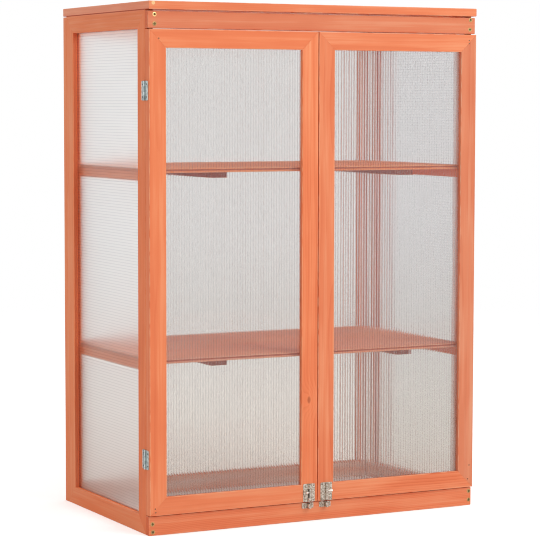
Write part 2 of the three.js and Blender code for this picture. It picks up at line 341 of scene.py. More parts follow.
def twin_wall(name, clear, foot, haze, blur, bend=1.25):
    """Clear plastic with a milky share, darkened towards the ground by painted shade; lamps shine through."""
    material, tree, shader = new_material(name)
    place = own_place(tree)
    dust = noise(tree, place, scale=120.0, detail=3.0)
    level = add_node(tree, "ShaderNodeSeparateXYZ", {0: place}).outputs["Z"]
    feed(tree, shader, {
        "Base Color": tint(tree, ramp(tree, level, *FOOT_SHADE_LEVELS, 1.0, 0.0), colour(*clear), colour(*foot)),
        "Roughness": ramp(tree, dust, 0.3, 0.7, blur * 0.9, blur * 1.1),
        "Transmission Weight": 1 - haze, "IOR": bend, "Specular IOR Level": SHEET_SHINE,
    })
    lit_through = add_node(tree, "ShaderNodeBsdfTransparent", {"Color": LIGHT_THROUGH}).outputs[0]
    path = add_node(tree, "ShaderNodeLightPath").outputs
    mixed = tree.nodes["Principled BSDF"].outputs[0]
    for ray in ("Is Shadow Ray", "Is Diffuse Ray"):
        mixed = add_node(tree, "ShaderNodeMixShader", {0: path[ray], 1: mixed, 2: lit_through}).outputs[0]
    feed(tree, tree.nodes["Material Output"].inputs, {"Surface": mixed})
    return material


def plated_steel(name, bright, dull, crevice, roughness, metallic, cloud_scale=160.0):
    material, tree, shader = new_material(name)
    age = use_group(tree, metal_age, {"Place": own_place(tree), "Cloud Scale": cloud_scale})
    tone = tint(tree, age["Dulling"], colour(*bright), colour(*dull))
    feed(tree, shader, {
        # Each face's recess share mixes in the crevice colour: painted shade in recesses and on rods, a
        # painted dark reflection on hinge barrels, dirt on nails
        "Base Color": tint(tree, surface_value(tree, "recess"), tone, colour(*crevice)),
        "Roughness": ramp(tree, age["Dulling"], 0.0, 1.0, roughness, roughness + 0.2), "Metallic": metallic,
        "Normal": bumps(tree, age["Scratches"], strength=0.15, depth=0.05 * MM),
    })
    return material


front_fir = stained_fir("front_fir", (247, 160, 112), (238, 131, 84), (220, 104, 60), (216, 98, 50))
side_fir = stained_fir("side_fir", (244, 152, 104), (240, 131, 80), (218, 101, 54), (196, 96, 54),
                       wear_amount=0.25)
shelf_fir = stained_fir("shelf_fir", (255, 164, 108), (255, 144, 82), (240, 118, 62), (196, 104, 62), 0.2)
# The battens' darker stain paints the shade under the shelves
shade_painted_batten_fir = stained_fir("shade_painted_batten_fir", (190, 96, 66), (166, 70, 44), (136, 52, 32), (160, 70, 46), 0.2)

# Colours higher up and near the ground, where the darker one is painted shade, the milky share, the blur and,
# where it differs, the bend
SHEET_FINISHES = {
    "door": (twin_wall("door_sheet_skin", (237, 236, 236), (230, 228, 225), 0.015, 0.015),
             twin_wall("door_sheet_rib", (246, 245, 245), (242, 239, 236), 0.015, 0.015)),
    "side": (twin_wall("side_sheet_skin", (255, 255, 255), (249, 247, 245), 0.005, 0.32, 1.1),
             twin_wall("side_sheet_rib", (232, 233, 236), (228, 226, 224), 0.005, 0.32, 1.1)),
    "back": (twin_wall("back_sheet_skin", (253, 253, 252), (249, 247, 245), 0.01, 0.015),
             twin_wall("back_sheet_rib", (254, 254, 254), (254, 254, 254), 0.0, 0.015)),
}

# Bright, dull and crevice colours, roughness, metal share and, where it differs, the scale of the clouds; the
# crevice colour paints shade in recesses, a dark reflection on hinge barrels and dirt on nails
(zinc_plate, nickel_plate, yellow_zinc, aged_zinc, nickel_with_painted_highlight, pale_plug, nail_steel) = (
    plated_steel(*finish) for finish in (
        ("zinc_plate", (214, 222, 220), (160, 172, 172), (28, 36, 46), 0.28, 0.9),
        ("nickel_plate", (224, 217, 204), (136, 124, 106), (44, 34, 26), 0.3, 0.85, 300.0),
        ("yellow_zinc", (250, 224, 160), (226, 186, 120), (96, 66, 34), 0.34, 0.8),
        ("aged_zinc", (206, 172, 112), (158, 134, 86), (110, 90, 56), 0.45, 0.6),
        # Paler nickel of the bolt rods, whose paleness paints the knobs' highlight
        ("nickel_with_painted_highlight", (255, 253, 246), (232, 226, 212), (60, 48, 38), 0.2, 0.85, 300.0),
        ("pale_plug", (252, 208, 150), (246, 190, 128), (220, 150, 96), 0.6, 0.0),
        ("nail_steel", (150, 112, 84), (118, 78, 52), (60, 40, 30), 0.5, 0.4)))


# Mesh helpers
def stand(name, data):
    """A new object in the scene."""
    made = bpy.data.objects.new(name, data)
    bpy.context.scene.collection.objects.link(made)
    return made


def make_mesh(name, points, faces, material=None):
    mesh = bpy.data.meshes.new(name)
    mesh.from_pydata([tuple(p) for p in points], [], faces)
    if material:
        mesh.materials.append(material)
    return mesh


def smooth(mesh, crease):
    """Smooth shading, but for creases of more than so many degrees."""
    mesh.shade_smooth()
    mesh.set_sharp_from_angle(angle=math.radians(crease))


@contextmanager
def reworked(mesh):
    """The mesh open for work on its vertices, edges and faces."""
    work = bmesh.new()
    work.from_mesh(mesh)
    yield work
    work.to_mesh(mesh)
    work.free()


def evaluated(shape):
    """What an object's modifiers make of it, as a plain mesh; the object goes."""
    bpy.context.view_layer.update()
    depsgraph = bpy.context.evaluated_depsgraph_get()
    mesh = bpy.data.meshes.new_from_object(
        shape.evaluated_get(depsgraph), preserve_all_data_layers=True, depsgraph=depsgraph)
    bpy.data.objects.remove(shape)
    return mesh


def add_piece(name, mesh, body, nodes=()):
    piece = stand(name, mesh)
    if nodes:
        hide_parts(*nodes)
    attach(piece, body)
    return piece


def store(mesh, name, kind, domain, values):
    """Writes an attribute; vectors come as a list of three numbers each."""
    made = mesh.attributes.new(name, kind, domain)
    if kind == "FLOAT_VECTOR":
        made.data.foreach_set("vector", [part for value in values for part in value])
    else:
        made.data.foreach_set("value", list(values))


def darken(mesh, shares):
    """How far each face of a steel piece is darkened to its crevice colour: painted shade in screw recesses
    and on bolt rods, a painted dark reflection along hinge barrels, and dirt on nail heads.
    """
    store(mesh, "recess", "FLOAT", "FACE", shares)


def rounded_outline(corners, steps=ARRIS_STEPS):
    """Anticlockwise corners (x, y, radius) as points, with a flag for each edge that is part of an arc."""
    points, on_arc = [], []
    for index, (x, y, radius) in enumerate(corners):
        here = Vector((x, y))
        if not radius:
            points.append(here)
            on_arc.append(False)
            continue
        before = (Vector(corners[index - 1][:2]) - here).normalized()
        after = (Vector(corners[(index + 1) % len(corners)][:2]) - here).normalized()
        half = before.angle(after) / 2
        centre = here + (before + after).normalized() * (radius / math.sin(half))
        first = (here + before * (radius / math.tan(half)) - centre).normalized()
        last = (here + after * (radius / math.tan(half)) - centre).normalized()
        for step in range(steps + 1):
            points.append(centre + first.slerp(last, step / steps) * radius)
            on_arc.append(step < steps)
    return points, on_arc


def rings_to_faces(rings, around):
    """Quads between rings of points that run anticlockwise, seen against their direction, and both caps."""
    faces = []
    last = (rings - 1) * around
    for low in range(0, last, around):
        for i in range(around):
            j = (i + 1) % around
            faces.append([low + i, low + j, low + around + j, low + around + i])
    faces.append(list(range(around))[::-1])
    faces.append(list(range(last, last + around)))
    return faces


def prism(loops, low, high):
    """Points and faces of a plate: loops[0] is its anticlockwise outline, the others are clockwise holes."""
    points, faces, start = [], [], 0
    flat = [[Vector((x, y, 0)) for x, y in loop] for loop in loops]
    total = sum(len(loop) for loop in loops)
    for level in (low, high):
        points += [(p.x, p.y, level) for loop in flat for p in loop]
    for loop in flat:
        count = len(loop)
        for i in range(count):
            a, b = start + i, start + (i + 1) % count
            faces.append([a, b, b + total, a + total])
        start += count
    order = [p for loop in flat for p in loop]
    for triangle in tessellate_polygon(flat):
        a, b, c = triangle
        if (order[b] - order[a]).cross(order[c] - order[a]).z < 0:
            a, b, c = a, c, b
        faces.append([c, b, a])
        faces.append([a + total, b + total, c + total])
    return points, faces


def full_turn(steps, start=0.0):
    return [2 * math.pi * (i + start) / steps for i in range(steps)]


def round_points(radius, angles, x=0, y=0):
    return [(x + radius * math.cos(a), y + radius * math.sin(a)) for a in angles]


def hole_loop(x, y, radius, steps):
    """A round hole's outline, clockwise."""
    return round_points(radius, [-a for a in full_turn(steps, 0.5)], x, y)


def lathe(profile, steps):
    """Points and faces of a turned piece about Z; the profile is (radius, height) from foot to top."""
    points, faces, rows = [], [], []
    for radius, level in profile:
        ring = round_points(radius, full_turn(steps if radius else 1))
        rows.append(range(len(points), len(points) + len(ring)))
        points += [(x, y, level) for x, y in ring]
    for low, top in zip(rows, rows[1:]):
        for i in range(steps):
            j = (i + 1) % steps
            ring = [low[i % len(low)], low[j % len(low)], top[j % len(top)], top[i % len(top)]]
            faces.append(list(dict.fromkeys(ring)))
    return points, faces


def basis(x, y, origin):
    """The matrix that lays a piece's own X and Y along two directions, at a place."""
    z = x.cross(y)
    made = Matrix((x, y, z)).transposed().to_4x4()
    made.translation = origin
    return made


def shifted(mesh, place):
    mesh.transform(Matrix.Translation(place))
    return mesh


# Timber
# Tone above zero is a deeper stain, fade a duller and pinker one, figure the strength of the rings.
# A knot is at (along, across, through) in mm from the board's starting end and its middle.
def look(tone, fade, figure, **more):
    return {"tone": tone, "fade": fade, "figure": figure, **more}


BOARD_LOOKS = {
    # The header's deeper, duller tone paints the shadow of the lid over it
    "header_board": look(0.35, 0.9, 0.1),
    "skirt_board": look(-0.25, 0.4, 0.7, knot=(42, -24, 0)),
    "lower_shelf_boards": {"figure": 0.2, "bare": 0.4},
    "upper_shelf_boards": {"figure": 0.5},
    "lid_front_rail": look(0.25, 0.3, 0.3),
    "lid_left_rail": look(-0.2, 0.2, 0.2, bare=0.15),
    # How dark the painted shade in this stile's reveal is
    "left_side_rear_stile": {"painted_shade": 0.7},
    "left_door_outer_stile": look(0.1, 0.1, 0.2),
    "left_door_top_rail": look(0.1, 0.1, 0.15),
    "left_door_inner_stile": look(-0.1, 0.1, 0.5, knot=(220, 1.4, 0)),
    "left_door_bottom_rail": look(-0.15, 0.3, 0.2),
    "right_door_inner_stile": look(-0.1, 0.4, 0.4),
    "right_door_top_rail": look(0.0, 0.3, 0.3),
    "right_door_outer_stile": look(0.0, 1.0, 0.5),
    "right_door_bottom_rail": look(-0.35, 0.3, 0.8),
}


def mark_wood(mesh, places, faces, marks, chosen):
    """Gives a board its own place in a tree and its look, and marks its worn and bare faces and its faces of
    painted shade.
    """
    along = grain_draws.uniform(*HEART_ALONG)
    heart = Vector((along, grain_draws.uniform(*HEART_ACROSS) * MM, grain_draws.uniform(*HEART_DEPTH)))
    drawn = {name: grain_draws.uniform(*ends) for name, ends in LOOK_RANGES.items()}
    values = {**drawn, **(chosen or {})}
    knot = values.get("knot")
    store(mesh, "grain_place", "FLOAT_VECTOR", "POINT", [Vector(p) + heart for p in places])
    away = [Vector(p) - Vector(knot) * MM if knot else PLAIN_PLACE for p in places]
    store(mesh, "knot_place", "FLOAT_VECTOR", "POINT", away)
    for name in drawn:
        store(mesh, "board_" + name, "FLOAT", "POINT", [values[name]] * len(places))
    for name, marked in marks.items():
        shares = [values.get(name, 1.0) if i in marked else 0.0 for i in range(faces)]
        store(mesh, name, "FLOAT", "FACE", shares)


def timber(name, rings, on_arc, place_of, finish, chosen=None, square_ends=False, bare=(), painted_shade=()):
    """A board from rings of points along it. place_of turns a point into (along, across, through)."""
    around = len(on_arc)
    points = [p for ring in rings for p in ring]
    faces = rings_to_faces(len(rings), around)
    mesh = make_mesh(name, points, faces, finish)
    sides = range(len(faces) - 2)
    painted_shade_faces = {i for i in sides if i % around in painted_shade}
    marks = {
        "arris": {i for i in sides if on_arc[i % around]} - painted_shade_faces,
        "end_grain": (), "bare": {i for i in sides if i % around in bare}, "painted_shade": painted_shade_faces,
    }
    if square_ends:
        marks["arris"] |= {*sides[:around], *sides[-around:]}
        marks["end_grain"] = {len(sides), len(sides) + 1}
    mark_wood(mesh, [place_of(p) for p in points], len(faces), marks, chosen)
    return mesh


def mitred_member(name, length, member, thickness, groove, groove_end, rear_lip, finish, bare, painted_shade):
    """X from the outer edge inwards, Y through the thickness, Z along; both ends are mitred."""
    groove_from, groove_to = groove
    rear = member - rear_lip
    corners = [
        (0, 0, ARRIS_RADIUS), (rear, 0, ARRIS_RADIUS), (rear, groove_from, 0), (groove_end, groove_from, 0),
        (groove_end, groove_to, 0), (member, groove_to, 0), (member, thickness, ARRIS_RADIUS),
        (0, thickness, ARRIS_RADIUS),
    ]
    outline, on_arc = rounded_outline(corners)
    cut = MITRE_GAP / math.sqrt(2)
    first = [Vector((p.x, p.y, p.x + cut)) for p in outline]
    last = [Vector((p.x, p.y, length - p.x - cut)) for p in outline]
    centre = Vector((0, member / 2, thickness / 2))
    return timber(name + "_wood", [first, last], on_arc, lambda p: Vector((p.z, p.x, p.y)) - centre, finish,
                  BOARD_LOOKS.get(name), bare=bare, painted_shade=painted_shade)


def measured(low, high, directions):
    """The corner of a box that three directions lead away from, and its sizes along them."""
    facing = sum(directions, ORIGIN)
    corner = Vector([low[i] if facing[i] > 0 else high[i] for i in range(3)])
    return corner, [abs((high - low).dot(direction)) for direction in directions]


def join_frame(prefix, parts, body, across, rise, finish, rear_lip=0.0, bare=None, painted_shade=None):
    """Replaces a frame's four members, listed as in the solids: from the edge along across, then round."""
    lows, highs = zip(*(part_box(f"{prefix}_{part}") for part in parts))
    outward = across.cross(rise)
    low, high = Vector(map(min, *lows)), Vector(map(max, *highs))
    origin, (span, tall, thickness) = measured(low, high, (across, rise, outward))
    member = abs((highs[0] - lows[0]).dot(rise))
    sheet_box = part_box(prefix + "_sheet")
    depths = sorted((corner - origin).dot(outward) for corner in sheet_box)
    groove = (depths[0] - GROOVE_CLEARANCE, depths[1] + GROOVE_CLEARANCE)
    groove_end = min((corner - origin).dot(rise) for corner in sheet_box) - GROOVE_CLEARANCE
    far = origin + across * span
    edges = [(rise, origin, span), (-across, far, tall), (-rise, far + rise * tall, span),
             (across, origin + rise * tall, tall)]
    for part, (inward, start, length) in zip(parts, edges):
        name = f"{prefix}_{part}"
        mesh = mitred_member(name, length, member, thickness, groove, groove_end, rear_lip, finish,
                             (bare or {}).get(part, ()), (painted_shade or {}).get(part, ()))
        mesh.transform(basis(inward, outward, start))
        add_piece(name + "_wood", mesh, body, [name])


def plain_board_mesh(name, size, finish, chosen=None, groove=None):
    """A square-ended board: X along it, Y and Z across, from its low corner; a groove runs along low Y."""
    length, wide, thick = size

    def outline(inset):
        far, top = wide - inset, thick - inset
        corners = [(y, z, ARRIS_RADIUS) for y, z in ((inset, inset), (far, inset), (far, top), (inset, top))]
        if groove:
            from_top, to_top, deep = groove
            corners += [(y, thick - down, 0) for y, down in
                        ((inset, from_top), (deep, from_top), (deep, to_top), (inset, to_top))]
        return rounded_outline(corners)

    full, on_arc = outline(0)
    inset, _ = outline(END_CHAMFER)
    levels = [(inset, 0), (full, END_CHAMFER), (full, length - END_CHAMFER), (inset, length)]
    rings = [[Vector((level, p.x, p.y)) for p in points] for points, level in levels]
    centre = Vector((0, wide / 2, thick / 2))
    around = len(on_arc)
    # The groove between shelf boards gets painted shade
    in_groove = {around - 4, around - 3, around - 2} if groove else ()
    bare = range(around) if chosen and "bare" in chosen else ()
    return timber(name, rings, on_arc, lambda p: p - centre, finish, chosen, True, bare, in_groove)


def lay_board(node, along, finish):
    """Replaces one of the cabinet's plain boards, whose length runs along X or Y."""
    low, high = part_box(node)
    size = high - low
    seat = Matrix.Translation(low)
    if along is BACK:
        size = (size.y, size.x, size.z)
        seat = basis(BACK, LEFT, Vector((high.x, low.y, low.z)))
    mesh = plain_board_mesh(node + "_wood", size, finish, BOARD_LOOKS.get(node))
    mesh.transform(seat)
    add_piece(node + "_wood", mesh, "cabinet", [node])


# Things that repeat
def geometry(tree, kind, inputs=None, **settings):
    return add_node(tree, "GeometryNode" + kind, inputs, **settings).outputs[0]


def read_value(tree, name, kind):
    return geometry(tree, "InputNamedAttribute", {"Name": name}, data_type=kind)


def keep_value(tree, shape, name, value, kind):
    """The shape with a named value on each of its points."""
    inputs = {"Geometry": shape, "Name": name, "Value": value}
    return geometry(tree, "StoreNamedAttribute", inputs, data_type=kind, domain="POINT")


def repeated(tree, points, shape, rotation=(0, 0, 0)):
    """The shape on every point, as real geometry."""
    placed = geometry(tree, "InstanceOnPoints", {"Points": points, "Instance": shape, "Rotation": rotation})
    return geometry(tree, "RealizeInstances", {"Geometry": placed})


def shelf_boards_tree():
    """Boards side by side; each gets its own place in a tree and its own tone."""
    inputs = [
        ("Board", "Geometry", None), ("Boards", "Int", SHELF_BOARDS), ("Step", "Vector", None),
        ("Seed", "Int", 1), ("Finish", "Material", None),
    ]
    tree, given, result = new_group(
        "Shelf boards side by side", inputs, [("Shelf", "Geometry")], "GeometryNodeTree")
    line = geometry(tree, "MeshLine", {"Count": given["Boards"], "Offset": given["Step"]})
    numbered = keep_value(tree, line, "board_number", geometry(tree, "InputIndex"), "INT")
    boards = repeated(tree, numbered, given["Board"])
    draw = {"ID": read_value(tree, "board_number", "INT"), "Seed": given["Seed"]}
    vector_ends = {0: (0.0, -0.04, -0.01), 1: (30.0, 0.04, 0.04)}
    number_ends = {2: -1.0, 3: 1.0}
    shifts = add_node(tree, "FunctionNodeRandomValue", {**vector_ends, **draw}, data_type="FLOAT_VECTOR")
    tones = add_node(tree, "FunctionNodeRandomValue", {**number_ends, **draw}, data_type="FLOAT")
    place = vector_maths(tree, "ADD", read_value(tree, "grain_place", "FLOAT_VECTOR"), shifts.outputs[0])
    grained = keep_value(tree, boards, "grain_place", place, "FLOAT_VECTOR")
    toned = keep_value(tree, grained, "board_tone", tones.outputs[1], "FLOAT")
    finished = geometry(tree, "SetMaterial", {"Geometry": toned, "Material": given["Finish"]})
    feed(tree, result, {"Shelf": finished})
    return tree


def twin_wall_tree():
    """One flute of a sheet repeated across it and welded, with skins and ribs in their own finish."""
    inputs = [
        ("Flute", "Geometry", None), ("Flutes", "Int", 10), ("Pitch", "Float", FLUTE_PITCH),
        ("Skin", "Material", None), ("Rib", "Material", None),
    ]
    tree, given, result = new_group(
        "Flutes side by side", inputs, [("Sheet", "Geometry")], "GeometryNodeTree")
    step = add_node(tree, "ShaderNodeCombineXYZ", {"X": given["Pitch"]}).outputs[0]
    line = geometry(tree, "MeshLine", {"Count": given["Flutes"], "Offset": step})
    flutes = repeated(tree, line, given["Flute"])
    welded = geometry(tree, "MergeByDistance", {"Geometry": flutes, "Distance": 0.01 * MM})
    skins = geometry(tree, "SetMaterial", {"Geometry": welded, "Material": given["Skin"]})
    is_rib = read_value(tree, "rib", "BOOLEAN")
    ribs = geometry(tree, "SetMaterial", {"Geometry": skins, "Selection": is_rib, "Material": given["Rib"]})
    feed(tree, result, {"Sheet": ribs})
    return tree


def heads_tree():
    """A screw or nail head on every point, turned as the point says."""
    inputs = [("Places", "Geometry", None), ("Head", "Object", None), ("Finish", "Material", None)]
    tree, given, result = new_group("Heads on points", inputs, [("Heads", "Geometry")], "GeometryNodeTree")
    head = add_node(tree, "GeometryNodeObjectInfo", {"Object": given["Head"]}, transform_space="ORIGINAL")
    turn = read_value(tree, "turn", "FLOAT_VECTOR")
    rotation = add_node(tree, "FunctionNodeEulerToRotation", {0: turn}).outputs[0]
    heads = repeated(tree, given["Places"], head.outputs["Geometry"], rotation)
    finished = geometry(tree, "SetMaterial", {"Geometry": heads, "Material": given["Finish"]})
    feed(tree, result, {"Heads": finished})
    return tree


shelf_rows = shelf_boards_tree()
flute_rows = twin_wall_tree()
heads_on_points = heads_tree()


def grown(name, base, tree, values):
    """What a tree makes of a base mesh, as a plain mesh."""
    carrier = stand(name, base)
    modifier = carrier.modifiers.new("repeat", "NODES")
    modifier.node_group = tree
    for item in tree.interface.items_tree:
        if item.item_type == "SOCKET" and item.in_out == "INPUT" and item.name in values:
            modifier[item.identifier] = values[item.name]
    mesh = evaluated(carrier)
    mesh.name = name
    return mesh


def lay_shelf(node, seed):
    low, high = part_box(node)
    size = high - low
    step = (size.y + SHELF_JOINT) / SHELF_BOARDS
    board_size = (size.x, step - SHELF_JOINT, size.z)
    board = plain_board_mesh(node, board_size, shelf_fir, BOARD_LOOKS[node], groove=SHELF_GROOVE)
    values = {"Boards": SHELF_BOARDS, "Step": (0.0, step, 0.0), "Seed": seed, "Finish": shelf_fir}
    mesh = shifted(grown(node + "_wood", board, shelf_rows, values), low)
    add_piece(node + "_wood", mesh, "cabinet", [node])


def flute_mesh(pitch, length, thickness, sink, tinted_sinks):
    """One flute: X across it, Y through the sheet, Z along it, open where the next flute joins on."""
    inner = SKIN + RIB_FILLET
    half = RIB / 2
    shut = [
        (0, sink), (SINK_WIDTH, 0), (pitch - SINK_WIDTH, 0), (pitch, sink),
        (pitch, inner), (pitch, thickness - inner),
        (pitch, thickness - sink), (pitch - SINK_WIDTH, thickness), (SINK_WIDTH, thickness),
        (0, thickness - sink), (0, thickness - inner), (0, inner),
    ]
    hollow = [
        (half + RIB_FILLET, SKIN), (pitch - half - RIB_FILLET, SKIN), (pitch - half, inner),
        (pitch - half, thickness - inner), (pitch - half - RIB_FILLET, thickness - SKIN),
        (half + RIB_FILLET, thickness - SKIN), (half, thickness - inner), (half, inner),
    ]
    section = shut + hollow
    count = len(section)
    points = [(x, y, z) for z in (0, length) for x, y in section]
    faces, is_rib = [], []
    for i in (0, 1, 2, 6, 7, 8):
        faces.append([i, i + 1, i + 1 + count, i + count])
        is_rib.append(tinted_sinks and i not in (1, 7))
    for i in range(8):
        a, b = 12 + i, 12 + (i + 1) % 8
        faces.append([b, a, a + count, b + count])
        is_rib.append(i not in (0, 4))
    ends = [
        [0, 1, 2, 3, 4, 14, 13, 12, 19, 11], [4, 5, 15, 14],
        [5, 6, 7, 8, 9, 10, 18, 17, 16, 15], [10, 11, 19, 18],
    ]
    for end in ends:
        faces.append(end[::-1])
        faces.append([i + count for i in end])
        is_rib += [True, True]
    mesh = make_mesh("flute", points, faces)
    store(mesh, "rib", "BOOLEAN", "FACE", is_rib)
    return mesh


def fit_sheet(node, body, repeat, flutes, finishes):
    """Replaces a sheet: its flutes run along one direction and repeat along the other."""
    skin, rib = SHEET_FINISHES[finishes]
    through = flutes.cross(repeat)
    corner, (wide, thick, long) = measured(*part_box(node), (repeat, through, flutes))
    count = round(wide / FLUTE_PITCH)
    pitch = wide / count
    values = {"Flutes": count, "Pitch": pitch, "Skin": skin, "Rib": rib}
    flute = flute_mesh(pitch, long, thick, SINK_DEPTHS[finishes], finishes == "side")
    mesh = grown(node + "_flutes", flute, flute_rows, values)
    with reworked(mesh) as work:
        bmesh.ops.holes_fill(work, edges=[e for e in work.edges if e.is_boundary])
        bmesh.ops.recalc_face_normals(work, faces=work.faces)
    mesh.transform(basis(repeat, through, corner))
    add_piece(node + "_flutes", mesh, body, [node])


# Screws and nails
HEAD_SUNK = 0.6 * MM
NAIL_SUNK = 0.5 * MM
NAIL_DIRT = 0.25


def cross_head(radius, proud, arm_wide, arm_long, deep, steps=32):
    """A screw head with a cross recess; Z points out of the wood and zero is the wood's face."""
    def cross_radius(angle):
        c, s = abs(math.cos(angle)) + 1e-9, abs(math.sin(angle)) + 1e-9
        return max(min(arm_long / c, arm_wide / s), min(arm_wide / c, arm_long / s))

    angles = full_turn(steps, 0.5)
    rim = [radius] * steps
    cross = [cross_radius(a) for a in angles]
    crown = proud * 0.55
    rows = [
        (rim, 1.0, -HEAD_SUNK), (rim, 1.0, crown * 0.6), (rim, 0.93, crown),
        (cross, 1.08, proud), (cross, 0.8, proud - deep * 0.75), (cross, 0.3, proud - deep),
    ]
    points = [(r * share * math.cos(a), r * share * math.sin(a), z)
              for radii, share, z in rows for r, a in zip(radii, angles)]
    faces = rings_to_faces(len(rows), steps)
    mesh = make_mesh("screw_head", points, faces)
    # Painted shade in the cross recess
    first_recess = 3 * steps
    darken(mesh, [1.0 if i >= first_recess and i != len(faces) - 2 else 0.0 for i in range(len(faces))])
    return mesh


def nail_head(radius, proud, steps=14):
    profile = [(0, -NAIL_SUNK), (radius, -NAIL_SUNK), (radius, proud * 0.4), (radius * 0.7, proud),
               (0, proud * 0.8)]
    points, faces = lathe(profile, steps)
    mesh = make_mesh("nail_head", points, faces)
    darken(mesh, [NAIL_DIRT] * len(faces))
    return mesh


def drive(name, head_mesh, places, finish, body):
    """Heads on a body's places, each (point, direction out of the wood)."""
    seats = make_mesh(name, [point for point, _ in places], [])
    turns = []
    for _, outward in places:
        upright = outward.to_track_quat("Z", "Y").to_matrix()
        spun = upright @ Matrix.Rotation(grain_draws.uniform(0, math.pi / 2), 3, "Z")
        turns.append(tuple(spun.to_euler()))
    store(seats, "turn", "FLOAT_VECTOR", "POINT", turns)
    head = stand(name + "_head", head_mesh)
    mesh = grown(name, seats, heads_on_points, {"Head": head, "Finish": finish})
    bpy.data.objects.remove(head)
    smooth(mesh, CREASE)
    add_piece(name, mesh, body)


# Hinges
HINGE_HALF = 20 * MM
HINGE_REACH = 15.5 * MM
HINGE_CORNER = 3 * MM
HINGE_LEAF = 1.2 * MM
HINGE_BARREL = 2.5 * MM
HINGE_PIN = 1.2 * MM
HINGE_PIN_OUT = 2.8 * MM
HINGE_PLATE_START = 2.8 * MM
HINGE_MIDDLE_HALF = 7 * MM
HINGE_RUNNING_GAP = 0.25 * MM
HINGE_SCREW_OUT = 10.6 * MM
HINGE_SCREW_LEVELS = (-13 * MM, 13 * MM)
HINGE_HOLE = 2.3 * MM
HINGE_SHADE = 0.95
HINGE_SHADE_HALF = 1.3 * MM


def fused(name, parts, cuts, finish, chamfer, shade=lambda centre: 0.0, crease=38):
    """One closed body from overlapping shapes, less its cuts, with narrow chamfers on its sharp edges."""
    body, *tools = (stand("shape", make_mesh("shape", *shape)) for shape in (*parts, *cuts))
    for index, tool in enumerate(tools, 1):
        cut = body.modifiers.new("join", "BOOLEAN")
        cut.operation = "UNION" if index < len(parts) else "DIFFERENCE"
        cut.solver = "EXACT"
        cut.object = tool
    mesh = evaluated(body)
    for tool in tools:
        bpy.data.objects.remove(tool)
    with reworked(mesh) as work:
        bmesh.ops.remove_doubles(work, verts=work.verts, dist=1e-6)
        bmesh.ops.dissolve_limit(work, angle_limit=math.radians(0.5), verts=work.verts, edges=work.edges)
    if chamfer:
        soften(mesh, chamfer)
    mesh.name = name
    mesh.materials.clear()
    mesh.materials.append(finish)
    smooth(mesh, crease)
    darken(mesh, [shade(face.center) for face in mesh.polygons])
    return mesh


def soften(mesh, width):
    """Takes a mesh's sharp edges off by one narrow chamfer."""
    with reworked(mesh) as work:
        bmesh.ops.remove_doubles(work, verts=work.verts, dist=1e-7)
        sharp = [e for e in work.edges if len(e.link_faces) == 2 and e.calc_face_angle(0) > CHAMFER_ABOVE]
        bmesh.ops.bevel(work, geom=sharp, offset=width, offset_type="OFFSET", segments=1, affect="EDGES",
                        profile=0.5, clamp_overlap=True)


def moved(shape, matrix):
    points, faces = shape
    return [matrix @ Vector(p) for p in points], faces


def hinge_leaf_plate(direction):
    """The flat of a leaf: X out of the wood, Y away from the pin, Z along it."""
    start, reach = HINGE_PLATE_START, HINGE_REACH
    corners = [(start, -HINGE_HALF, 0), (reach, -HINGE_HALF, HINGE_CORNER), (reach, HINGE_HALF, HINGE_CORNER),
               (start, HINGE_HALF, 0)]
    outline, _ = rounded_outline(corners, 5)
    holes = [hole_loop(HINGE_SCREW_OUT, level, HINGE_HOLE, 16) for level in HINGE_SCREW_LEVELS]
    plate = prism([outline, *holes], 0, HINGE_LEAF)
    return moved(plate, basis(BACK * direction, UP * direction, ORIGIN))


def hinge_knuckle(direction, low, high):
    """The leaf's end rolled round the pin, between two levels."""
    dip = HINGE_PIN_OUT - HINGE_LEAF
    meet = math.sqrt(HINGE_BARREL ** 2 - dip ** 2)
    last = math.atan2(meet, -dip) + 2 * math.pi
    angles = [math.pi + (last - math.pi) * i / 22 for i in range(23)]
    roll = round_points(HINGE_BARREL, angles, HINGE_PIN_OUT)
    tab = HINGE_PLATE_START + 0.6 * MM
    outline = [(0, 0), *roll, (HINGE_LEAF, tab), (0, tab)]
    if direction < 0:
        outline = [(x, -y) for x, y in outline][::-1]
    return prism([outline], low, high)


def hinge_pin(radius, half):
    profile = [(0, -half), (radius * 0.7, -half), (radius, -half + 0.3 * MM), (radius, half - 0.3 * MM),
               (radius * 0.7, half), (0, half)]
    return moved(lathe(profile, 16), Matrix.Translation((HINGE_PIN_OUT, 0, 0)))


def hinge_leaf_meshes():
    gap = HINGE_MIDDLE_HALF + HINGE_RUNNING_GAP

    def shade(centre):
        return HINGE_SHADE if abs(centre.y) < HINGE_SHADE_HALF else 0.0

    fixed = fused("hinge_fixed_leaf", [
        hinge_leaf_plate(1), hinge_knuckle(1, -HINGE_HALF, -gap), hinge_knuckle(1, gap, HINGE_HALF),
        hinge_pin(HINGE_PIN, HINGE_HALF - 0.05 * MM)], [], zinc_plate, 0.15 * MM, shade)
    moving = fused("hinge_moving_leaf", [
        hinge_leaf_plate(-1), hinge_knuckle(-1, -HINGE_MIDDLE_HALF, HINGE_MIDDLE_HALF),
    ], [hinge_pin(HINGE_PIN + HINGE_RUNNING_GAP, HINGE_HALF)], zinc_plate, 0.15 * MM, shade)
    return fixed, moving


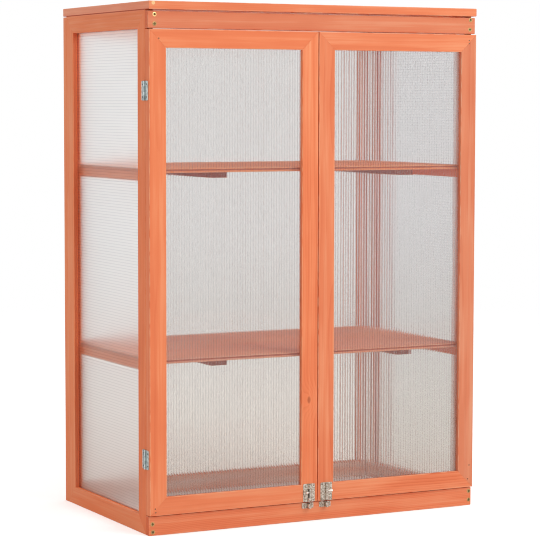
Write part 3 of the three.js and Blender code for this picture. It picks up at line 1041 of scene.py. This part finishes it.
def hinges():
    """Replaces the hinges' leaves and drives their screws, which ride with the leaf that they hold."""
    fixed, moving = hinge_leaf_meshes()
    joints = {joint["name"]: Vector(joint["pos_m"]) for joint in frame["joints"] if "pos_m" in joint}
    head = cross_head(
        radius=2.1 * MM, proud=0.35 * MM, arm_wide=0.7 * MM, arm_long=1.4 * MM, deep=0.8 * MM, steps=24)
    places = {"cabinet": [], "left_door": [], "right_door": [], "lid": []}
    seats = []
    for side, outward in (("left", LEFT), ("right", RIGHT)):
        for level in ("upper", "lower"):
            hinge = f"{side}_{level}_hinge_"
            seats.append((hinge + "cabinet_leaf", hinge + "door_leaf", f"{side}_door", outward, BACK))
        hinge = f"lid_{side}_hinge_"
        seats.append((hinge + "back_leaf", hinge + "lid_leaf", "lid", BACK, DOWN))
    for fixed_node, moving_node, body, outward, towards_fixed in seats:
        low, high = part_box(fixed_node)
        along = outward.cross(towards_fixed)
        pin = joints[body + "_hinge"].copy()
        for axis in range(3):
            if abs(along[axis]) > 0.5:
                pin[axis] = (low[axis] + high[axis]) / 2
        seat = basis(outward, towards_fixed, pin - outward * HINGE_PIN_OUT)
        leaves = ((fixed_node, fixed, "cabinet", 1), (moving_node, moving, body, -1))
        for node, leaf, rider, direction in leaves:
            mesh = leaf.copy()
            mesh.transform(seat)
            add_piece(node + "_plate", mesh, rider, [node])
            for level in HINGE_SCREW_LEVELS:
                spot = Vector((HINGE_LEAF, direction * HINGE_SCREW_OUT, level))
                places[rider].append((seat @ spot, outward))
    for rider, spots in places.items():
        drive(f"{rider}_hinge_screws", head, spots, zinc_plate, rider)


# Bolts
PLATE = (28 * MM, 39 * MM, 1 * MM)
PLATE_CORNER = 2 * MM
CASING_INNER = 2.8 * MM
CASING_OUTER = 3.8 * MM
CASING_INSET = 1.5 * MM
CASING_FLARE = 1.3 * MM
ROD_OUT = 3.8 * MM
ROD_RADIUS = 2.5 * MM
ROD_LEVELS = (1 * MM, 36 * MM)
KNOB_LEVEL = 21.5 * MM
KNOB_REACH = 13 * MM
KNOB_STUD = 1.75 * MM
KNOB_SLOT = 2.05 * MM
BOLT_DROP = 11 * MM
ROD_SHADE = 0.75
BOLT_LIFT = 5 * MM
KNOB_TURNS = {"left": math.radians(-55), "right": math.radians(68)}
BOLT_SCREWS = [(-10.2, 4.6), (10.2, 4.6), (-10.2, 34.4), (10.2, 34.4)]
KEEPER_SCREWS = [(-10.2, 6.0), (10.2, 6.0)]
FITTING_CHAMFER = 0.14 * MM
FITTING_HOLE = 1.6 * MM
KEEPER_INSET = 1.0 * MM


def fixing_plate(tall, screws):
    """X across, Y out of the wood when negative, Z up from its foot."""
    wide, _, thick = PLATE
    corners = [(-wide / 2, 0), (wide / 2, 0), (wide / 2, tall), (-wide / 2, tall)]
    outline, _ = rounded_outline([(x, y, PLATE_CORNER) for x, y in corners], 4)
    holes = [hole_loop(x * MM, z * MM, FITTING_HOLE, 14) for x, z in screws]
    return moved(prism([outline, *holes], 0, thick), basis(RIGHT, UP, ORIGIN))


def pressed_hoop(reach, low, high):
    """A half-round pressing over a rod that stands off the wood by reach, flared where it meets its plate."""
    foot = -PLATE[2] * 0.5
    face = -PLATE[2]
    arc = [math.pi + math.pi * i / 16 for i in range(17)]
    outer = round_points(CASING_OUTER, arc, 0, -reach)
    inner = round_points(CASING_INNER, arc[::-1], 0, -reach)
    flare = CASING_OUTER + CASING_FLARE
    step = CASING_OUTER + CASING_FLARE * 0.3
    top = face - CASING_FLARE
    outline = [
        (-flare, foot), (-flare, face), (-step, face - CASING_FLARE * 0.3), (-CASING_OUTER, top), *outer,
        (CASING_OUTER, top), (step, face - CASING_FLARE * 0.3), (flare, face), (flare, foot),
        (CASING_INNER, foot), *inner, (-CASING_INNER, foot),
    ]
    outline = [p for i, p in enumerate(outline)
               if i == 0 or (Vector(p) - Vector(outline[i - 1])).length > 1e-6]
    return prism([outline], low, high)


def bolt_plate_mesh(side):
    slot_foot = KNOB_LEVEL - BOLT_DROP - KNOB_SLOT
    slot_top = KNOB_LEVEL + BOLT_LIFT + KNOB_SLOT
    corners = [(-KNOB_SLOT, -KNOB_REACH), (KNOB_SLOT, -KNOB_REACH), (KNOB_SLOT, 0), (-KNOB_SLOT, 0)]
    slot = moved(prism([corners], slot_foot, slot_top),
                 Matrix.Translation((0, -ROD_OUT, 0)) @ Matrix.Rotation(KNOB_TURNS[side], 4, "Z"))
    casing = pressed_hoop(ROD_OUT, CASING_INSET, PLATE[1] - CASING_INSET)
    shapes = [fixing_plate(PLATE[1], BOLT_SCREWS), casing]
    return fused(f"{side}_bolt_plate", shapes, [slot], nickel_plate, FITTING_CHAMFER)


def bolt_rod_mesh(side):
    low, high = ROD_LEVELS
    profile = [(0, low), (ROD_RADIUS - 0.7 * MM, low), (ROD_RADIUS, low + 1.2 * MM),
               (ROD_RADIUS, high - 0.5 * MM), (ROD_RADIUS - 0.5 * MM, high), (0, high)]
    rod = moved(lathe(profile, 28), Matrix.Translation((0, -ROD_OUT, 0)))
    head_foot = KNOB_REACH - 7 * MM
    profile = [(0, 0), (KNOB_STUD, 0), (KNOB_STUD, head_foot), (2.2 * MM, head_foot + 0.15 * MM),
               (ROD_RADIUS, head_foot + 0.8 * MM), (ROD_RADIUS, KNOB_REACH - 1.3 * MM),
               (2.2 * MM, KNOB_REACH - 0.5 * MM), (1.5 * MM, KNOB_REACH - 0.1 * MM), (0, KNOB_REACH)]
    turn = Matrix.Rotation(KNOB_TURNS[side], 4, "Z") @ Matrix.Rotation(math.pi / 2, 4, "X")
    knob = moved(lathe(profile, 24), Matrix.Translation((0, -ROD_OUT, KNOB_LEVEL)) @ turn)

    def shade(centre):
        return ROD_SHADE if Vector((centre.x, centre.y + ROD_OUT, 0)).length < ROD_RADIUS * 1.05 else 0.0

    return fused(f"{side}_bolt_rod", [rod, knob], [], nickel_with_painted_highlight, 0, shade, 30)


def fitting_seat(node, face_y):
    """The point on the wood's face at the middle of a fitting's foot."""
    low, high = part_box(node)
    return Vector(((low.x + high.x) / 2, face_y, low.z))


def screw_spots(seat, screws):
    return [(seat + Vector((x * MM, -PLATE[2], z * MM)), FRONT) for x, z in screws]


def bolts():
    head = cross_head(
        radius=1.5 * MM, proud=0.3 * MM, arm_wide=0.32 * MM, arm_long=0.85 * MM, deep=0.6 * MM, steps=24)
    skirt_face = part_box("skirt_board")[0].y
    keeper_spots = []
    for side in ("left", "right"):
        door_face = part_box(f"{side}_door_inner_stile")[0].y
        node = f"{side}_bolt_plate"
        seat = fitting_seat(node, door_face)
        plate = shifted(bolt_plate_mesh(side), seat)
        add_piece(node + "_pressing", plate, f"{side}_door", [node])
        rod = shifted(bolt_rod_mesh(side), seat)
        add_piece(f"{side}_bolt_rod_turned", rod, f"{side}_bolt", [f"{side}_bolt_rod"])
        spots = screw_spots(seat, BOLT_SCREWS)
        drive(f"{side}_bolt_screws", head, spots, nickel_plate, f"{side}_door")
        node = f"{side}_keeper"
        seat = fitting_seat(node, skirt_face)
        low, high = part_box(node)
        tall = high.z - low.z
        hoop = pressed_hoop(skirt_face - door_face + ROD_OUT, KEEPER_INSET, tall - KEEPER_INSET)
        keeper = fused(node, [fixing_plate(tall, KEEPER_SCREWS), hoop], [], nickel_plate, FITTING_CHAMFER)
        add_piece(node + "_pressing", shifted(keeper, seat), "cabinet", [node])
        keeper_spots += screw_spots(seat, KEEPER_SCREWS)
    drive("keeper_screws", head, keeper_spots, nickel_plate, "cabinet")


# Camera, light and floor
CAMERA_PLACE = (-2.198, -4.2664, 0.894)
CAMERA_ANGLES = (27.282, 4.4167, 0.1085)
FOCAL_LENGTH = 144.45
SENSOR_WIDTH = 36
SURROUND_LIGHT = 0.72
FLOOR_RADIUS = 6.0
FLOOR_GLOW = 0.42
FLOOR_DROP = 0.2 * MM
FLOOR_SIDES = 64


def add_camera():
    """The photograph's camera, found by fitting the cabinet's corners."""
    yaw, pitch, roll = (math.radians(angle) for angle in CAMERA_ANGLES)
    ahead = Vector((math.sin(yaw) * math.cos(pitch), math.cos(yaw) * math.cos(pitch), -math.sin(pitch)))
    level = Vector((math.cos(yaw), -math.sin(yaw), 0))
    above = level.cross(ahead)
    across = level * math.cos(roll) + above * math.sin(roll)
    upward = above * math.cos(roll) - level * math.sin(roll)
    lens = bpy.data.cameras.new("photo_camera")
    lens.sensor_width = SENSOR_WIDTH
    lens.lens = FOCAL_LENGTH
    lens.clip_end = 100
    camera = stand("photo_camera", lens)
    view = Matrix((across, upward, -ahead)).transposed().to_4x4()
    view.translation = Vector(CAMERA_PLACE)
    camera.matrix_world = view
    bpy.context.scene.camera = camera


def add_softbox(name, place, aim, size, power):
    lamp = bpy.data.lights.new(name, "AREA")
    lamp.size = size
    lamp.energy = power
    turn = (Vector(aim) - Vector(place)).to_track_quat("-Z", "Y").to_matrix().to_4x4()
    stand(name, lamp).matrix_world = Matrix.Translation(place) @ turn


def add_surround(strength):
    """Soft light from all round; the camera, metal and glass see plain white."""
    world = bpy.data.worlds.new("studio_surround")
    bpy.context.scene.world = world
    world.use_nodes = True
    tree = world.node_tree
    tree.nodes.clear()
    path = add_node(tree, "ShaderNodeLightPath").outputs
    seen = maths(tree, "MAXIMUM", path["Is Camera Ray"], path["Is Glossy Ray"])
    seen = maths(tree, "MAXIMUM", seen, path["Is Transmission Ray"])
    soft = add_node(tree, "ShaderNodeBackground", {"Color": WHITE, "Strength": strength}).outputs[0]
    shown = add_node(tree, "ShaderNodeBackground", {"Color": WHITE, "Strength": 1.0}).outputs[0]
    mixed = add_node(tree, "ShaderNodeMixShader", {0: seen, 1: soft, 2: shown}).outputs[0]
    add_node(tree, "ShaderNodeOutputWorld", {"Surface": mixed})


def add_floor():
    """A pale floor that fades into the white and glows a little for the camera, but not where the cabinet
    stands, which paints a shadow there.
    """
    material, tree, shader = new_material("studio_floor")
    place = own_place(tree)
    path = add_node(tree, "ShaderNodeLightPath").outputs
    seen = maths(tree, "MAXIMUM", path["Is Camera Ray"], path["Is Transmission Ray"])
    apart = add_node(tree, "ShaderNodeSeparateXYZ", {0: place}).outputs
    across = maths(tree, "DIVIDE", maths(tree, "ABSOLUTE", apart["X"]), solid_high.x)
    through = maths(tree, "DIVIDE", maths(tree, "ABSOLUTE", apart["Y"]), solid_high.y)
    # No glow inside the cabinet's footprint: a painted shadow under it
    floor_outside_painted_shadow = ramp(tree, maths(tree, "MAXIMUM", across, through), 0.9, 0.96)
    feed(tree, shader, {
        "Base Color": (0.93, 0.93, 0.93, 1), "Roughness": 0.9, "Specular IOR Level": 0.1,
        "Alpha": ramp(tree, length_of(tree, place), FLOOR_RADIUS * 0.25, FLOOR_RADIUS * 0.8, 1.0, 0.0),
        "Emission Color": WHITE, "Emission Strength": times(tree, times(tree, seen, floor_outside_painted_shadow), FLOOR_GLOW),
    })
    points = [(x, y, -FLOOR_DROP) for x, y in round_points(FLOOR_RADIUS, full_turn(FLOOR_SIDES))]
    floor = stand("studio_floor", make_mesh("studio_floor", points, [range(FLOOR_SIDES)], material))


# The greenhouse
def side_frames():
    for side, across, second, fourth in (
            ("left", FRONT, "front_stile", "rear_stile"), ("right", BACK, "rear_stile", "front_stile")):
        parts = ("bottom_rail", second, "top_rail", fourth)
        # Painted shade where the lid sits on the top rails, and in the rear stiles' reveals
        join_frame(f"{side}_side", parts, "cabinet", across, UP, side_fir,
                   bare=dict.fromkeys(parts, REAR_FACE),
                   painted_shade={"top_rail": OUTER_FRONT_ARRIS, "rear_stile": INNER_EDGE})
        fit_sheet(f"{side}_side_sheet", "cabinet", UP, BACK, "side")


def back_frame():
    parts = ("bottom_rail", "left_stile", "top_rail", "right_stile")
    join_frame("back", parts, "cabinet", LEFT, UP, side_fir,
               bare=dict.fromkeys(parts, REAR_FACE))
    fit_sheet("back_sheet", "cabinet", RIGHT, UP, "back")


def doors():
    for body, second, fourth in (
            ("left_door", "inner_stile", "outer_stile"), ("right_door", "outer_stile", "inner_stile")):
        parts = ("bottom_rail", second, "top_rail", fourth)
        join_frame(body, parts, body, RIGHT, UP, front_fir, DOOR_REAR_LIP)
        fit_sheet(body + "_sheet", body, RIGHT, UP, "door")


def lid():
    parts = ("front_rail", "right_rail", "rear_rail", "left_rail")
    # Painted shade along the side rails' lower outer arrises, where the lid sits on the frames
    join_frame("lid", parts, "lid", RIGHT, BACK, front_fir, bare={"left_rail": OUTER_EDGE},
               painted_shade={"left_rail": OUTER_REAR_ARRIS, "right_rail": OUTER_REAR_ARRIS})
    fit_sheet("lid_sheet", "lid", RIGHT, BACK, "back")


def front_boards():
    for node in ("header_board", "skirt_board"):
        lay_board(node, RIGHT, front_fir)


def shelves():
    for prefix, seed in (("lower", 3), ("upper", 8)):
        lay_shelf(prefix + "_shelf_boards", seed)
        for side in ("left", "right"):
            lay_board(f"{prefix}_shelf_{side}_batten", BACK, shade_painted_batten_fir)
            lay_board(f"{prefix}_shelf_{side}_cleat", BACK, side_fir)


def board_screws():
    """Screws through the header and the skirt, the nails of the doors' mitres and the lid's plug."""
    header_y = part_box("header_board")[0].y
    door_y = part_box("left_door_outer_stile")[0].y
    head = cross_head(radius=4.5 * MM, proud=0.5 * MM, arm_wide=1.4 * MM, arm_long=2.3 * MM, deep=0.45 * MM)
    nail = nail_head(radius=1.5 * MM, proud=0.12 * MM)
    plug = nail_head(radius=4 * MM, proud=0.1 * MM, steps=24)
    for name, shape, finish, body, face_y, spots in (
            ("header_bright_screw", head, yellow_zinc, "cabinet", header_y, [(-377.7, 1072.7)]),
            ("header_dull_screws", head, aged_zinc, "cabinet", header_y,
             [(-377.6, 1053.7), (380.9, 1075.2), (379.4, 1054.2)]),
            ("skirt_screws", head, aged_zinc, "cabinet", header_y,
             [(-384.5, 24.3), (-383.6, 7.5), (386.5, 32.0), (386.7, 12.3)]),
            ("left_door_nails", nail, nail_steel, "left_door", door_y,
             [(-370.8, 1024.1), (-380.9, 56.8), (-379.8, 49.2)]),
            ("right_door_nails", nail, nail_steel, "right_door", door_y,
             [(374.2, 1030.4), (374.3, 1024.1), (383.4, 91.3), (380.0, 60.5)]),
            ("lid_corner_plug", plug, pale_plug, "lid", door_y, [(-383.0, 1095.7)])):
        places = [(Vector((x * MM, face_y, z * MM)), FRONT) for x, z in spots]
        drive(name, shape, places, finish, body)


bpy.context.scene.view_settings.view_transform = "Standard"
cycles = bpy.context.scene.cycles
cycles.transparent_max_bounces = 48
cycles.max_bounces = 32
cycles.transmission_bounces = 32
cycles.glossy_bounces = 32
cycles.filter_width = 1.1
add_camera()
add_surround(SURROUND_LIGHT)
add_softbox("key_softbox", place=(1.5, -3.0, 3.0), aim=(0, 0, 0.4), size=2.4, power=66)
add_floor()

side_frames()
back_frame()
front_boards()
shelves()
doors()
lid()
hinges()
bolts()
board_screws()
